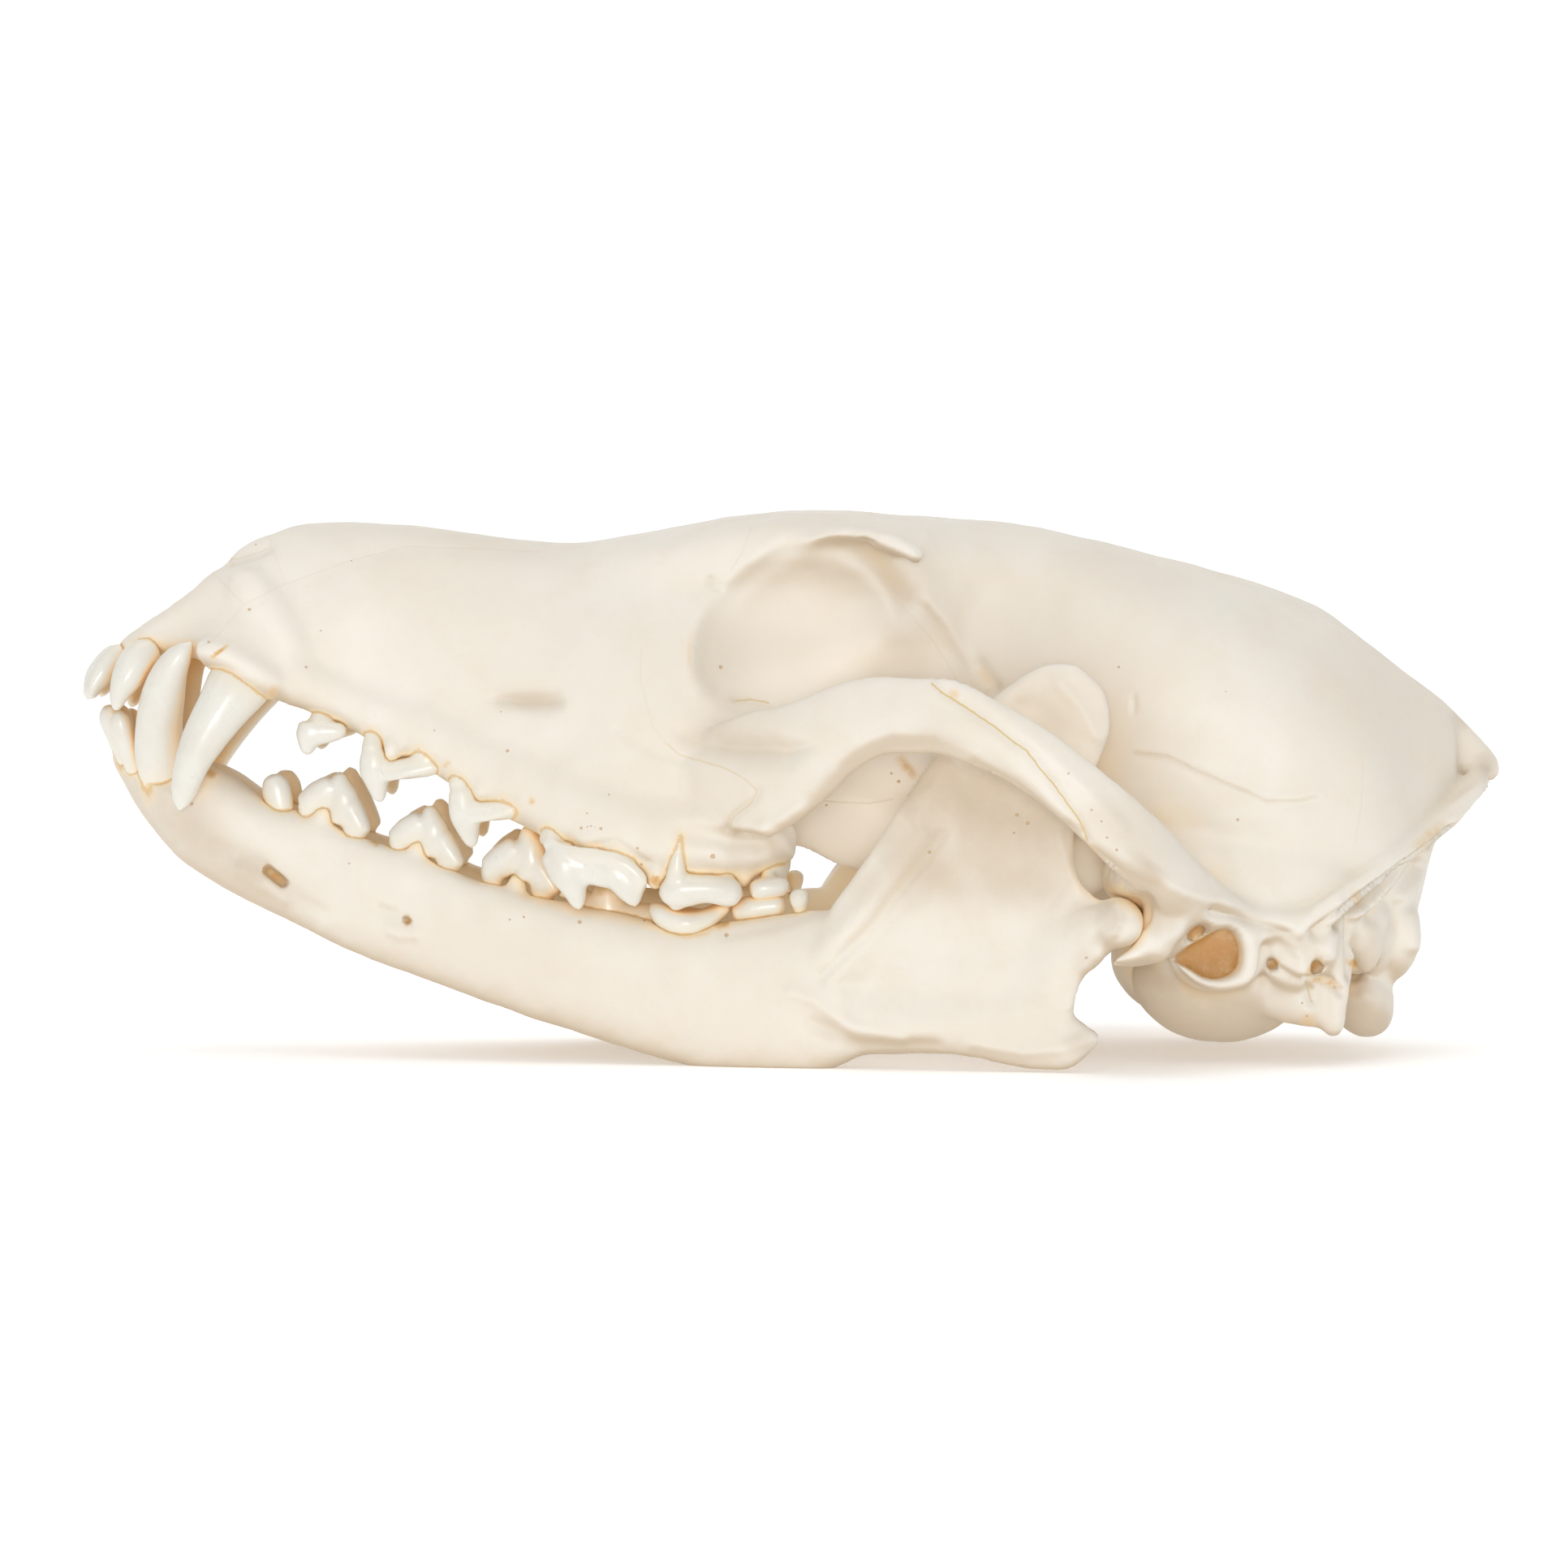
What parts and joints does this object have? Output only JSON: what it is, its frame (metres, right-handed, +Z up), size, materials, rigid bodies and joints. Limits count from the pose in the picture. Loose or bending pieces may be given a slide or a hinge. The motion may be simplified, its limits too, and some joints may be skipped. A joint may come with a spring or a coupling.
{
  "type": "fox skull",
  "caption": "Life-size red fox skull, cranium with its teeth, cheek arches and ear capsules above closed lower jaws, resting on the jaws as a still display piece.",
  "frame": {"origin": "middle of the whole skull's box in plan, at the level of the flats under the lower jaws that it rests on", "axes": "+X towards the back of the head, -X towards the nose, +Z up, +Y towards the skull's right side and -Y towards its left side, which faces the camera"},
  "size_m": [0.148, 0.0744, 0.0568],
  "materials": {
    "bone": "matt, pale ivory dry bone, warmer in its hollows",
    "enamel": "glossy, nearly white tooth enamel, amber at the gum line"
  },
  "bodies": {
    "root": {"rostrum": "bone", "braincase": "bone", "zygomatic_arch_left": "bone", "zygomatic_arch_right": "bone", "auditory_bulla_left": "bone", "auditory_bulla_right": "bone", "mandible_left": "bone", "mandible_right": "bone"}
  },
  "joints": []
}
